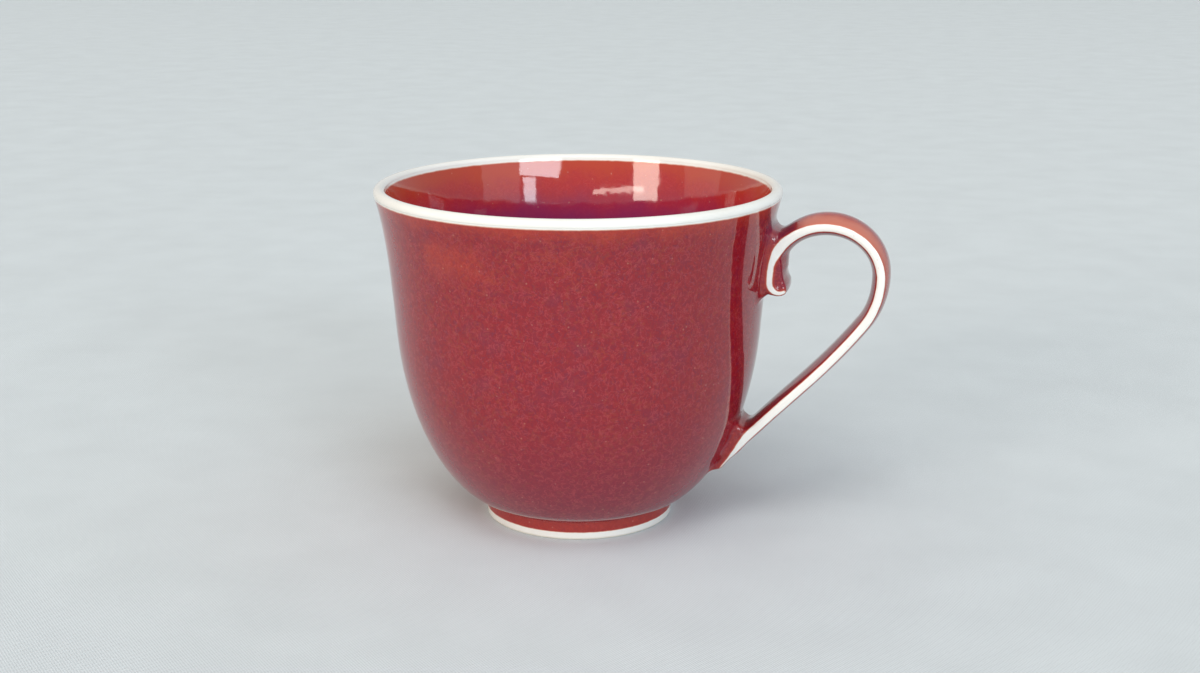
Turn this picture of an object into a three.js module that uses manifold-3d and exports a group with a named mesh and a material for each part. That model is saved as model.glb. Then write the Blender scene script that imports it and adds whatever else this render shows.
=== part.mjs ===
// A porcelain coffee cup with a strap handle that rolls up in a scroll.
//
// The cup is made as a potter makes it: a jiggered bowl on a turned foot ring, a pressed strap
// handle, two pads of slip that lute the handle to the wall, and coats of red glaze that stop
// short of the lip, the foot and the strap's edges, where the white porcelain shows.
//
// Sizes are in millimetres and angles in degrees. Z points up, the cup stands on Z = 0 and the
// handle lies along +X. Radii and heights of the bowl are those of its finished, glazed surface.

import * as THREE from 'three';
import { mergeVertices } from 'three/addons/utils/BufferGeometryUtils.js';
import Module from 'manifold-3d';

// Bowl
const cupHeight = 72.5;
const rimRadius = 43;
const lipRadius = 1.25; // the lip is a half round over the top of the wall
const lipLean = 17; // the wall leans out this much where the lip starts
const lipPull = 7.4; // how far down the wall the flare of the lip reaches
const waistRadius = 39;
const waistHeight = 42;
const waistLean = 4.4;
const waistPull = 13;
const bellyPull = 23.6; // a longer pull makes the belly fuller
const bellyStart = 6.9;
const bellyLean = 12.5; // the belly leaves the foot this much above level
const bellyWall = 3.2; // thickness over the foot, which thins to the lip's own thickness
const floorRound = 0.3; // share of the floor's radius that bends up into the wall

// Foot ring
const footRadius = 20.4;
const footHeight = 4;
const footTaper = 0.2; // the ring is this much narrower where it stands
const footRingWidth = 2.7;
const footEdge = 0.35; // the ring's edges are eased by this much
const wellDepth = 2.8;
const wellRound = 1.2;

// Glaze coats
const glazeThickness = 0.4;
const glazeEdge = 0.12; // where a coat stops it is only this thick
const glazeFeather = 1.6; // length over which a coat thins to its edge
const bareFoot = 1.5; // white band at the foot
const glazeClearance = 0.05;

// Strap handle
const strapReach = 24; // from the wall to the middle of the strap at its widest
const archDrop = 16.8; // the arch springs this far below the lip
const archRise = 10.35;
const haunchRadius = 16.6; // round of the strap below its widest point
const haunchTurn = 37;
const lowerEndHeight = 12.7;
const lowerEndStandoff = 1.1;
const lowerEndAngle = 52; // the strap runs into the wall this much above level
const lowerSweep = 0.38; // share of the lower limb over which each of its ends keeps its direction
const scrollWidth = 4;
const scrollDepth = 2.2;
const scrollTurn = 150;
const scrollDrop = 1.3; // the scroll's centre lies this far under the spring of the arch
const strapWidth = 11;
// Thickness at the strap's edges, and how far each face is crowned between them
const strapEdge = {
  tip: 0.9, scroll: 1, back: 1, shoulder: 1.9, top: 1.5, haunch: 1.65, lower: 1.75, foot: 1.75, end: 1.1,
};
const outerCrown = {
  tip: 0.1, scroll: 0.05, back: 0.05, shoulder: 0.8, top: 1.5, haunch: 0.8, lower: 0.8, foot: 0.8, end: 0.4,
};
const innerCrown = {
  tip: 0.3, scroll: 0.75, back: 2.1, shoulder: 1.9, top: 1.6, haunch: 1.2, lower: 0.85, foot: 0.85, end: 0.8,
};
const backStation = 2; // the back's sizes hold this far up the arch
const shoulderStation = 0.19; // share of the arch at which the shoulder's sizes hold
const endTaper = 12; // the lower end thins over this length
const tipNarrowing = 0.8; // the scroll's tip is this much narrower on each side
const tipLength = 4;
const coatWidth = 0.97; // share of the strap's width that the red coats cover
const poolReach = 1.5;
const poolHeight = 5.2;
const poolLift = 0.7;
const poolInset = 0.35; // the pooled glaze lies this far back from the strap's edges

// Slip joints
const slipThickness = 1;
const jointClearance = 0.3;
const upperPadLift = 1.9; // the pad's middle lies this far over the spring of the arch
const upperPadLength = 14.2;
const lowerPadLift = 4.9; // and this far over the strap's lower end
const lowerPadLength = 12.6;
const padFlare = 1.7; // the fillet round a pad
const padSquareness = 4; // 2 would give the pads round ends
const blockRoot = 4; // depth in the wall to which a joint's blocks are drawn before they are cut
const upperWebLift = 6.9; // slip also fills the throat between the strap and the wall
const upperWebLength = 4.4;
const upperWebWidth = 8.6;
const upperWebRise = 3;
const lowerWebLift = 7.5;
const lowerWebLength = 7.2;
const lowerWebWidth = 10.4;
const lowerWebRise = 2.2;

// Fineness of the curves
const turnSteps = 44;
const bellySteps = 7;
const wallSteps = 4;
const lipSteps = 4;
const floorSteps = 2;
const strapSteps = [10, 1, 15, 6, 10]; // scroll, back, arch, haunch and lower limb
const faceSteps = 6;
const padSteps = 24;
const filletSteps = 4;
const poolSteps = 8;

const porcelain = new THREE.MeshStandardMaterial({ color: 0xf1eee8, roughness: 0.22, metalness: 0 });
const redGlaze = new THREE.MeshStandardMaterial({ color: 0x8e2530, roughness: 0.12, metalness: 0 });
const thinGlaze = new THREE.MeshStandardMaterial({ color: 0xa8301f, roughness: 0.14, metalness: 0 });

const wasm = await Module();
wasm.setup();

const radians = THREE.MathUtils.degToRad;

function point(radius, height) {
  return new THREE.Vector2(radius, height);
}

// A step of a given length in a profile, at an angle above level
function step(length, angle) {
  return point(length * Math.cos(radians(angle)), length * Math.sin(radians(angle)));
}

// Moves each point of an open line to its left by that point's own distance
function offsetLine(line, distanceAt) {
  return line.map((here, i) => {
    const before = line[Math.max(i - 1, 0)];
    const after = line[Math.min(i + 1, line.length - 1)];
    const along = after.clone().sub(before).normalize();
    const left = point(-along.y, along.x);
    return here.clone().addScaledVector(left, distanceAt(i));
  });
}

function lengthsAlong(line) {
  const lengths = [0];
  for (let i = 1; i < line.length; i += 1) {
    lengths.push(lengths[i - 1] + line[i].distanceTo(line[i - 1]));
  }
  return lengths;
}

// A solid of revolution about Z from a profile that closes on itself or on the axis
function turned(profile) {
  const outward = THREE.ShapeUtils.isClockWise(profile) ? profile.slice().reverse() : profile;
  const geometry = new THREE.LatheGeometry(outward, turnSteps);
  geometry.rotateX(Math.PI / 2);
  return geometry;
}

function solidOf(geometry) {
  const bare = geometry.clone();
  bare.deleteAttribute('normal');
  bare.deleteAttribute('uv');
  const merged = mergeVertices(bare, 1e-5);
  return new wasm.Manifold(new wasm.Mesh({
    numProp: 3,
    vertProperties: new Float32Array(merged.attributes.position.array),
    triVerts: new Uint32Array(merged.index.array),
  }));
}

function geometryOf(solid) {
  const { vertProperties, triVerts } = solid.getMesh();
  const geometry = new THREE.BufferGeometry();
  geometry.setAttribute('position', new THREE.BufferAttribute(vertProperties, 3));
  geometry.setIndex(new THREE.BufferAttribute(triVerts, 1));
  geometry.computeVertexNormals();
  return geometry;
}

// A closed skin through rings of points, with both ends capped. The outline is that of the last ring.
function loft(rings, outline) {
  if (THREE.ShapeUtils.isClockWise(outline)) {
    return loft(rings.map((ring) => ring.slice().reverse()), outline.slice().reverse());
  }
  const count = outline.length;
  const positions = rings.flat().flatMap((corner) => corner.toArray());
  const index = [];
  for (let ring = 0; ring + 1 < rings.length; ring += 1) {
    for (let i = 0; i < count; i += 1) {
      const a = ring * count + i;
      const b = ring * count + ((i + 1) % count);
      index.push(a, b, b + count, a, b + count, a + count);
    }
  }
  const last = (rings.length - 1) * count;
  for (const [a, b, c] of THREE.ShapeUtils.triangulateShape(outline, [])) {
    index.push(c, b, a, last + a, last + b, last + c);
  }
  const geometry = new THREE.BufferGeometry();
  geometry.setAttribute('position', new THREE.Float32BufferAttribute(positions, 3));
  geometry.setIndex(index);
  return geometry;
}

// Bowl's lines, each from the bottom up

const foot = point(footRadius, footHeight);
const waist = point(waistRadius, waistHeight);
const lipCentre = point(rimRadius - lipRadius, cupHeight - lipRadius);
const lipStart = lipCentre.clone().add(step(lipRadius, -lipLean));
const waistUp = step(1, 90 - waistLean);

const belly = new THREE.CubicBezierCurve(
  foot,
  foot.clone().add(step(bellyStart, bellyLean)),
  waist.clone().addScaledVector(waistUp, -bellyPull),
  waist,
);
const wall = new THREE.CubicBezierCurve(
  waist,
  waist.clone().addScaledVector(waistUp, waistPull),
  lipStart.clone().sub(step(lipPull, 90 - lipLean)),
  lipStart,
);

const bowlLine = [...belly.getPoints(bellySteps), ...wall.getPoints(wallSteps).slice(1)];
const footSide = point(footRadius - footTaper * (1 - bareFoot / footHeight), bareFoot);
const outerLine = [footSide, ...bowlLine];

// The wall thins evenly from the belly to the lip
const bowlLengths = lengthsAlong(bowlLine);
const wallAt = (i) => {
  return THREE.MathUtils.lerp(bellyWall, 2 * lipRadius, bowlLengths[i] / bowlLengths.at(-1));
};
const lining = offsetLine(bowlLine, wallAt);
const liningRise = lining[1].clone().sub(lining[0]).angle();
const floorReach = lining[0].x * floorRound;
const floorBend = lining[0].clone().sub(point(floorReach, floorReach * Math.tan(liningRise)));
const floor = new THREE.QuadraticBezierCurve(point(0, floorBend.y), floorBend, lining[0]);
const innerLine = [...floor.getPoints(floorSteps).slice(0, -1), ...lining];

// A coat is full in the middle and thins to its edge at each end that shows
function coatAt(line, thinsAtStart) {
  const lengths = lengthsAlong(line);
  const whole = lengths.at(-1);
  return (i) => {
    const fromStart = thinsAtStart ? lengths[i] : whole;
    const fromEdge = Math.min(fromStart, whole - lengths[i]);
    return THREE.MathUtils.lerp(glazeEdge, glazeThickness, Math.min(fromEdge / glazeFeather, 1));
  };
}

function onAxis(line) {
  line[0].x = 0;
  return line;
}

const outerCoat = coatAt(outerLine, true);
const innerCoat = coatAt(innerLine, false);
const outerCoatBack = offsetLine(outerLine, outerCoat);
const innerCoatBack = onAxis(offsetLine(innerLine, (i) => -innerCoat(i)));
const bodyOuterLine = offsetLine(outerLine, (i) => outerCoat(i) + glazeClearance);
const bodyInnerLine = onAxis(offsetLine(innerLine, (i) => -innerCoat(i) - glazeClearance));

function makeCupBody() {
  const standRadius = bodyOuterLine[0].x;
  const ringInside = standRadius - footRingWidth;
  const footLine = [
    point(0, wellDepth),
    point(ringInside - 2 * wellRound, wellDepth),
    point(ringInside - wellRound / 2, wellDepth - wellRound / 2),
    point(ringInside, footEdge),
    point(ringInside + footEdge, 0),
    point(standRadius - footEdge, 0),
    point(standRadius, footEdge),
  ];
  const roll = [radians(-lipLean), radians(180 - lipLean)];
  const lip = new THREE.EllipseCurve(lipCentre.x, lipCentre.y, lipRadius, lipRadius, ...roll);
  const lipLine = lip.getPoints(lipSteps);
  return turned([...footLine, ...bodyOuterLine, ...lipLine, ...bodyInnerLine.slice().reverse()]);
}

function makeOutsideGlaze() {
  return turned([...outerLine, ...outerCoatBack.slice().reverse(), outerLine[0]]);
}

function makeInsideGlaze() {
  return turned([...innerLine, ...innerCoatBack.slice().reverse()]);
}

// Handle's line, in the plane Y = 0, from the tip of the scroll over the arch to the belly

function wallRadiusAt(height) {
  const above = outerLine.findIndex((corner) => corner.y > height);
  const [low, high] = [outerLine[above - 1], outerLine[above]];
  return THREE.MathUtils.mapLinear(height, low.y, high.y, low.x, high.x);
}

const archHeight = cupHeight - archDrop;
const handleReach = wallRadiusAt(archHeight) + strapReach;
const scrollBack = wallRadiusAt(archHeight) + slipThickness + strapEdge.scroll / 2;
const scrollCentre = point(scrollBack + scrollWidth / 2, archHeight - scrollDrop);
const archHalfSpan = (handleReach - scrollBack) / 2;
const haunchEnd = point(handleReach - haunchRadius, archHeight).add(step(haunchRadius, -haunchTurn));
const lowerEnd = point(wallRadiusAt(lowerEndHeight) + lowerEndStandoff, lowerEndHeight);
const sweepLength = lowerSweep * haunchEnd.distanceTo(lowerEnd);
const haunchSweep = haunchEnd.clone().add(step(sweepLength, -90 - haunchTurn));
const endSweep = lowerEnd.clone().add(step(sweepLength, lowerEndAngle));

const scroll = new THREE.EllipseCurve(
  scrollCentre.x,
  scrollCentre.y,
  scrollWidth / 2,
  scrollDepth,
  Math.PI + radians(scrollTurn),
  Math.PI,
  true,
);
const back = new THREE.LineCurve(point(scrollBack, scrollCentre.y), point(scrollBack, archHeight));
const arch = new THREE.EllipseCurve(
  scrollBack + archHalfSpan,
  archHeight,
  archHalfSpan,
  archRise,
  Math.PI,
  0,
  true,
);
const haunch = new THREE.EllipseCurve(
  handleReach - haunchRadius,
  archHeight,
  haunchRadius,
  haunchRadius,
  0,
  -radians(haunchTurn),
  true,
);
const lowerLimb = new THREE.CubicBezierCurve(haunchEnd, haunchSweep, endSweep, lowerEnd);

const strapLine = new THREE.CurvePath();
for (const curve of [scroll, back, arch, haunch, lowerLimb]) {
  strapLine.add(curve);
}
const [scrollEnds, backEnds, archEnds, haunchEnds, strapLength] = strapLine.getCurveLengths();

// Where along the strap each of its named sizes holds, with even change between them
const stations = {
  tip: 0,
  scroll: scrollEnds,
  back: backEnds + backStation,
  shoulder: backEnds + shoulderStation * arch.getLength(),
  top: backEnds + arch.getLength() / 2,
  haunch: archEnds,
  lower: haunchEnds,
  foot: strapLength - endTaper,
  end: strapLength,
};
const stationNames = Object.keys(stations);

function sizeAlong(sizes, length) {
  const next = Math.max(stationNames.findIndex((name) => stations[name] >= length - 1e-6), 1);
  const [before, after] = [stationNames[next - 1], stationNames[next]];
  const share = (length - stations[before]) / (stations[after] - stations[before]);
  return THREE.MathUtils.lerp(sizes[before], sizes[after], THREE.MathUtils.smoothstep(share, 0, 1));
}

// Where a ring of the strap lies: a share of the way along one of the strap's curves
function ringPlace(curve, start, share) {
  return {
    length: start + share * curve.getLength(),
    middle: curve.getPointAt(share),
    along: curve.getTangentAt(share),
  };
}

const strapRings = [ringPlace(scroll, 0, 0)];
strapLine.curves.forEach((curve, which) => {
  const start = strapRings.at(-1).length;
  for (let i = 1; i <= strapSteps[which]; i += 1) {
    strapRings.push(ringPlace(curve, start, i / strapSteps[which]));
  }
});

// Sweeps a section along the strap. sectionAt gives points across the strap and outward from it.
function swept(sectionAt, start = 0, end = strapLength) {
  const rings = strapRings.filter(({ length }) => length >= start && length <= end + 1e-6);
  const corners = rings.map(({ length, middle, along }) => sectionAt(length).map(([across, out]) => (
    new THREE.Vector3(middle.x - along.y * out, across, middle.y + along.x * out)
  )));
  return loft(corners, sectionAt(rings.at(-1).length).map(([across, out]) => point(across, out)));
}

const faceShares = Array.from({ length: faceSteps + 1 }, (_, i) => Math.sin(Math.PI * (i / faceSteps - 0.5)));

function halfWidthAt(length) {
  return strapWidth / 2 - tipNarrowing * Math.max(1 - length / tipLength, 0) ** 2;
}

// One face of the strap, crowned between its two edges and raised by a height of its own.
// It takes in this share of the strap's width.
function strapFace(crown, side, length, width, raisedBy) {
  const half = halfWidthAt(length);
  const edge = sizeAlong(strapEdge, length) / 2;
  return faceShares.map((share) => {
    const rise = edge + sizeAlong(crown, length) * (1 - (share * width) ** 2) + raisedBy(share);
    return [share * width * half, side * rise];
  });
}

function makeStrap(grownBy) {
  const widen = (face) => face.map(([across, out]) => [across * (1 + (2 * grownBy) / strapWidth), out]);
  return swept((length) => [
    ...widen(strapFace(innerCrown, -1, length, 1, () => grownBy)),
    ...widen(strapFace(outerCrown, 1, length, 1, () => grownBy)).reverse(),
  ]);
}

function makeStrapCoat(crown, side, start, end) {
  const thickness = (share) => THREE.MathUtils.lerp(glazeThickness, glazeEdge, share ** 4);
  const sectionAt = (length) => [
    ...strapFace(crown, side, length, coatWidth, () => glazeClearance),
    ...strapFace(crown, side, length, coatWidth, (share) => glazeClearance + thickness(share)).reverse(),
  ];
  return swept(sectionAt, start, end);
}

// Glaze that ran into the hollow of the scroll and fills it
function makeScrollPool() {
  const half = halfWidthAt(0) - poolInset;
  const profile = [];
  for (let i = 0; i <= poolSteps; i += 1) {
    const share = (2 * i) / poolSteps - 1;
    profile.push(point(Math.sqrt(Math.max(1 - share ** 4, 0)), share * half));
  }
  const geometry = new THREE.LatheGeometry(profile, 2 * poolSteps);
  geometry.scale(poolReach, 1, poolHeight / 2);
  geometry.translate(scrollCentre.x, 0, scrollCentre.y + poolLift);
  return geometry;
}

// Slip joints

// The whole bowl, filled and grown past its glaze by a distance, to cut what lies against it
function bowlGrownBy(distance) {
  const line = offsetLine(outerLine, () => -distance);
  return solidOf(turned([point(0, line[0].y), ...line, point(0, line.at(-1).y)]));
}

const coatDepth = glazeThickness + glazeClearance;
const padBase = jointClearance - coatDepth;
const padTop = padBase + slipThickness;
const strapSeat = padTop + jointClearance;

// A block that stands out of the wall. Its flanks stand square to the wall, or meet it in a fillet.
function wallBlock({ height, length, width, rise }, grownBy, above, fillet) {
  const half = point(width, length).divideScalar(2).addScalar(grownBy);
  const low = point(wallRadiusAt(height - length / 2), height - length / 2);
  const high = point(wallRadiusAt(height + length / 2), height + length / 2);
  const up = high.clone().sub(low).normalize();
  const middle = point(wallRadiusAt(height), height);
  const flank = width / 2 + padFlare;
  const sag = middle.x - Math.sqrt(middle.x ** 2 - flank ** 2);
  const levels = [[-sag - blockRoot, padFlare]];
  for (let i = 0; fillet && i <= filletSteps; i += 1) {
    const turn = (Math.PI / 2) * (i / filletSteps);
    levels.push([(rise + sag) * (1 - Math.cos(turn)) - sag, padFlare * (1 - Math.sin(turn))]);
  }
  levels.push([rise + above, fillet ? 0 : padFlare]);
  const outline = Array.from({ length: padSteps }, (_, i) => {
    const turn = (2 * Math.PI * i) / padSteps;
    const rounded = (value) => Math.sign(value) * Math.abs(value) ** (2 / padSquareness);
    return point(rounded(Math.cos(turn)), rounded(Math.sin(turn)));
  });
  const rings = levels.map(([out, flare]) => outline.map((corner) => {
    const along = corner.y * (half.y + flare);
    return new THREE.Vector3(
      middle.x + up.x * along + up.y * out,
      corner.x * (half.x + flare),
      middle.y + up.y * along - up.x * out,
    );
  }));
  return solidOf(loft(rings, outline));
}

const upperPad = {
  height: archHeight + upperPadLift,
  length: upperPadLength,
  width: strapWidth,
  rise: padTop,
};
const lowerPad = {
  height: lowerEndHeight + lowerPadLift,
  length: lowerPadLength,
  width: strapWidth,
  rise: padTop,
};
const upperWeb = {
  height: archHeight + upperWebLift,
  length: upperWebLength,
  width: upperWebWidth,
  rise: upperWebRise,
};
const lowerWeb = {
  height: lowerEndHeight + lowerWebLift,
  length: lowerWebLength,
  width: lowerWebWidth,
  rise: lowerWebRise,
};

function makeJoint(pad, web) {
  const saddle = wallBlock(pad, 0, slipThickness, true).intersect(bowlGrownBy(padTop));
  const throat = wallBlock(web, 0, 0, true).subtract(solidOf(makeStrap(jointClearance)));
  return saddle.add(throat).subtract(bowlGrownBy(padBase));
}

// The block grown by the joints' clearance, to cut what lies round a joint
function clearOf(block, fillet) {
  return wallBlock(block, jointClearance, jointClearance, fillet);
}

function cutAll(solid, cutters) {
  return cutters.reduce((left, cutter) => left.subtract(cutter), solid);
}

const seat = bowlGrownBy(strapSeat);

function makeWallGlaze() {
  return cutAll(solidOf(makeOutsideGlaze()), [clearOf(upperPad, false), clearOf(lowerPad, false)]);
}

// This coat ends at the lower web
function makeInnerStrapGlaze() {
  const coat = solidOf(makeStrapCoat(innerCrown, -1, stations.tip, stations.foot));
  const strap = solidOf(makeStrap(glazeClearance / 2));
  return cutAll(coat.add(solidOf(makeScrollPool())), [strap, seat, clearOf(lowerWeb, true)]);
}

// The coat starts over the throat. The scroll's back is bare, because it was luted before glazing.
function makeOuterStrapGlaze() {
  const coat = solidOf(makeStrapCoat(outerCrown, 1, stations.shoulder, stations.end));
  return cutAll(coat, [seat, clearOf(upperWeb, true)]);
}

const pieces = [
  ['cup_body', makeCupBody(), porcelain],
  ['outside_glaze', geometryOf(makeWallGlaze()), redGlaze],
  ['inside_glaze', makeInsideGlaze(), redGlaze],
  ['handle', geometryOf(solidOf(makeStrap(0)).subtract(seat)), porcelain],
  ['handle_outer_glaze', geometryOf(makeOuterStrapGlaze()), redGlaze],
  ['handle_inner_glaze', geometryOf(makeInnerStrapGlaze()), redGlaze],
  ['upper_joint', geometryOf(makeJoint(upperPad, upperWeb)), thinGlaze],
  ['lower_joint', geometryOf(makeJoint(lowerPad, lowerWeb)), thinGlaze],
];

const cup = new THREE.Group();
for (const [name, geometry, material] of pieces) {
  const mesh = new THREE.Mesh(geometry, material);
  mesh.name = name;
  cup.add(mesh);
}

// The origin is under the middle of the whole cup, handle and all
const extent = new THREE.Box3().setFromObject(cup);
cup.position.x = -(extent.min.x + extent.max.x) / 2;

export default cup;
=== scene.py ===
"""A red-glazed porcelain coffee cup with a scrolled strap handle, dressed for the studio.

Sizes are in metres. Z points up, the cup stands on Z = 0 and its handle lies along +X.
Profiles of the bowl are pairs of radius and height, from the axis of the bowl.
"""

import math

import bpy
import numpy as np
from bpy.props import FloatProperty, FloatVectorProperty, IntProperty, PointerProperty
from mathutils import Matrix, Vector
from mathutils.geometry import interpolate_bezier


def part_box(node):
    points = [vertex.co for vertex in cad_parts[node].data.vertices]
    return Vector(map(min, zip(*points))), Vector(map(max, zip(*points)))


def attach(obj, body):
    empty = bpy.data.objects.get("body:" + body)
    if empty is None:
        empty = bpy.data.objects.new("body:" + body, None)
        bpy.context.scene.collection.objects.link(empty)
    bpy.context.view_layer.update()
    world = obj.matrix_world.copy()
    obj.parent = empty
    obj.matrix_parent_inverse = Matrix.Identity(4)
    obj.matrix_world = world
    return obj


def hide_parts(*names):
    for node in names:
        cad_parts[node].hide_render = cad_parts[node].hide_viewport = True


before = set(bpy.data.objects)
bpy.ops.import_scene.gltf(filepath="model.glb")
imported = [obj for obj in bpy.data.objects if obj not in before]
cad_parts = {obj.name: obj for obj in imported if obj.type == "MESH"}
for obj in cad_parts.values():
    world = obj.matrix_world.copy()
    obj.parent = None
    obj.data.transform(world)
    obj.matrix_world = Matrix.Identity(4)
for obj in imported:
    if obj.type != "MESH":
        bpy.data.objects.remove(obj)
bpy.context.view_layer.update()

bl_info = {
    "name": "Glazed coffee cup",
    "version": (1, 0, 0),
    "blender": (4, 5, 0),
    "location": "View3D > Sidebar > Coffee cup",
    "description": "Turns, glazes and handles a porcelain coffee cup and sets it in a small studio",
    "category": "Object",
}

MM = 0.001
BODY_LOW, BODY_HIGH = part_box("cup_body")
AXIS_X = (BODY_LOW.x + BODY_HIGH.x) / 2


def length(name, default, description):
    return FloatProperty(
        name=name, description=description, default=default * MM, unit="LENGTH", precision=5
    )


def colour(name, default, description):
    return FloatVectorProperty(
        name=name, description=description, default=default, subtype="COLOR", size=3, min=0, max=1
    )


# Sizes and colours

class CupSizes(bpy.types.PropertyGroup):
    height: length("Height", 72.5, "Height of the cup")
    rim_radius: length("Rim radius", 43, "Radius of the mouth over its lip")
    lip_radius: length("Lip", 1.25, "Radius of the half round that ends the wall")
    waist_radius: length("Waist radius", 39, "Radius of the bowl where its belly ends")
    waist_height: length("Waist height", 42, "Height at which the belly ends")
    foot_radius: length("Foot radius", 20.4, "Radius of the foot ring under the bowl")
    foot_height: length("Foot height", 4, "Height of the foot ring")
    belly_wall: length("Belly wall", 3.2, "Thickness of the wall over the foot")
    coat: length("Glaze", 0.36, "Thickness of a full coat of glaze")
    coat_edge: length("Glaze edge", 0.02, "Thickness of a coat where it stops")
    feather: length("Feather", 1.6, "Length over which a coat thins to its edge")
    bare_foot: length("Bare foot", 1.5, "Height of the white band at the foot")
    turns: IntProperty(name="Turns", description="Faces round the bowl", default=192, min=24)


class HandleSizes(bpy.types.PropertyGroup):
    width: length("Strap width", 11, "Width of the strap across its edges")
    reach: length("Reach", 24, "From the wall to the middle of the strap at its widest")
    arch_height: length("Arch height", 55.7, "Height at which the arch springs")
    arch_rise: length("Arch rise", 10.35, "Rise of the arch over its spring")
    haunch: length("Haunch", 16.6, "Round of the strap below its widest point")
    scroll_width: length("Scroll width", 4, "Width of the scroll's turn")
    scroll_depth: length("Scroll depth", 2.4, "Depth of the scroll's turn")
    fineness: length("Fineness", 0.23, "Size of the faces of the finished handle")


class GlazeColours(bpy.types.PropertyGroup):
    porcelain: colour("Porcelain", (0.87, 0.85, 0.81), "Bare white clay under clear glaze")
    biscuit: colour("Biscuit", (0.70, 0.66, 0.58), "Unglazed clay where the foot stands")
    crimson: colour("Crimson", (0.232, 0.008, 0.017), "Full copper red")
    scarlet: colour("Scarlet", (0.280, 0.011, 0.019), "Clouds of brighter red in the glaze")
    thread: colour("Thread", (0.410, 0.050, 0.060), "Fine pale threads in the glaze")
    # Purple also darkens the lower outside of the belly, partly as painted shade
    purple: colour("Purple", (0.165, 0.020, 0.055), "Copper red where it lies thick")
    # Violet stands for glaze pooled in the bowl, and its bluish pallor is partly a painted reflection of
    # the pale room
    violet: colour("Violet", (0.200, 0.022, 0.110), "Copper red where it pooled in the bowl")
    brown: colour("Brown", (0.290, 0.040, 0.020), "Rusty fibres in the glaze")
    orange: colour("Orange", (0.47, 0.046, 0.017), "Copper red where it runs thin")
    # Painted light: a brighter red laid on the upper inside of the bowl, where it is lit
    painted_lit_red: colour("Vermilion", (0.62, 0.034, 0.030), "Red that shines back from inside the bowl")
    blush: colour("Blush", (0.66, 0.33, 0.24), "Glaze that has all but run off an edge")


class StudioSettings(bpy.types.PropertyGroup):
    cloth: colour("Cloth", (0.735, 0.79, 0.83), "Fine pale cloth under and behind the cup")
    backdrop: colour("Backdrop", (0.63, 0.66, 0.68), "What is seen past the end of the cloth")
    warm: colour("Warm light", (1.0, 0.91, 0.79), "Light of the room from the left")
    cool: colour("Cool light", (0.84, 0.935, 1.0), "Daylight from the right and the front")
    sky: FloatProperty(
        name="Room light", description="Strength of the room's own light", default=0.53
    )
    window: FloatProperty(
        name="Window light", description="Power of a square metre of window", default=31, unit="POWER"
    )
    daylight: FloatProperty(
        name="Daylight", description="Strength of the high soft light of each side", default=0.545
    )


# Steps of modelling

def deselect():
    if bpy.context.object and bpy.context.object.mode != "OBJECT":
        bpy.ops.object.mode_set(mode="OBJECT")
    bpy.ops.object.select_all(action="DESELECT")


def named(name):
    piece = bpy.context.object
    piece.name = name
    piece.data.name = name
    return piece


def at_origin(piece):
    """Applies the piece's place to its mesh."""
    deselect()
    piece.select_set(True)
    bpy.context.view_layer.objects.active = piece
    bpy.ops.object.transform_apply(location=True, rotation=True, scale=True)


def close_skin():
    """In edit mode: merges what lies together and turns every face outward."""
    bpy.ops.mesh.select_all(action="SELECT")
    bpy.ops.mesh.remove_doubles(threshold=2e-6)
    bpy.ops.mesh.normals_make_consistent(inside=False)


def place(radius, height):
    return Vector((AXIS_X + radius, 0, height))


def turned(name, profile, steps, closed):
    """A vertex is extruded along a profile, and the profile is spun about the axis of the bowl."""
    deselect()
    bpy.ops.mesh.primitive_plane_add(size=MM, location=place(*profile[0]))
    piece = named(name)
    bpy.ops.object.mode_set(mode="EDIT")
    bpy.ops.mesh.merge(type="CENTER")
    for here, there in zip(profile, profile[1:]):
        move = place(*there) - place(*here)
        bpy.ops.mesh.extrude_vertices_move(TRANSFORM_OT_translate={"value": move})
    if closed:
        bpy.ops.mesh.select_all(action="SELECT")
        bpy.ops.object.mode_set(mode="OBJECT")
        for vertex in piece.data.vertices:
            vertex.select = vertex.index in (0, len(profile) - 1)
        for edge in piece.data.edges:
            edge.select = False
        bpy.ops.object.mode_set(mode="EDIT")
        bpy.ops.mesh.select_mode(type="VERT")
        bpy.ops.mesh.edge_face_add()
    bpy.ops.mesh.select_all(action="SELECT")
    bpy.ops.mesh.spin(steps=steps, angle=2 * math.pi, center=(AXIS_X, 0, 0), axis=(0, 0, 1))
    close_skin()
    bpy.ops.object.mode_set(mode="OBJECT")
    at_origin(piece)
    bpy.ops.object.shade_smooth_by_angle(angle=math.radians(40))
    return piece


# Profile of the bowl

def step(distance, degrees):
    """A step of a given length in a profile, at an angle above level."""
    angle = math.radians(degrees)
    return Vector((distance * math.cos(angle), distance * math.sin(angle)))


def arc(centre, radius, first, last, count):
    return [centre + step(radius, first + (last - first) * i / count) for i in range(count + 1)]


def bezier(*corners, count):
    points = interpolate_bezier(*[Vector((*corner, 0)) for corner in corners], count)
    return [point.to_2d() for point in points]


def ease(share):
    """A share from 0 to 1, with eased ends."""
    share = np.clip(share, 0, 1)
    return share * share * (3 - 2 * share)


def lip_middle(sizes):
    """Middle of the half round that ends the wall."""
    return Vector((sizes.rim_radius - sizes.lip_radius, sizes.height - sizes.lip_radius))


def bowl_line(sizes):
    """The glazed outside of the bowl, from the top of the foot to the start of the lip."""
    foot = Vector((sizes.foot_radius, sizes.foot_height))
    waist = Vector((sizes.waist_radius, sizes.waist_height))
    lip_start = lip_middle(sizes) + step(sizes.lip_radius, -17)
    # The two curves start and end along these steps, and meet at the waist along one slope
    out_of_foot, up, into_lip = step(6.9 * MM, 12.5), step(1, 85.6), step(7.4 * MM, 73)
    belly = bezier(foot, foot + out_of_foot, waist - 23.6 * MM * up, waist, count=49)
    wall = bezier(waist, waist + 13 * MM * up, lip_start - into_lip, lip_start, count=25)
    return belly + wall[1:]


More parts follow.
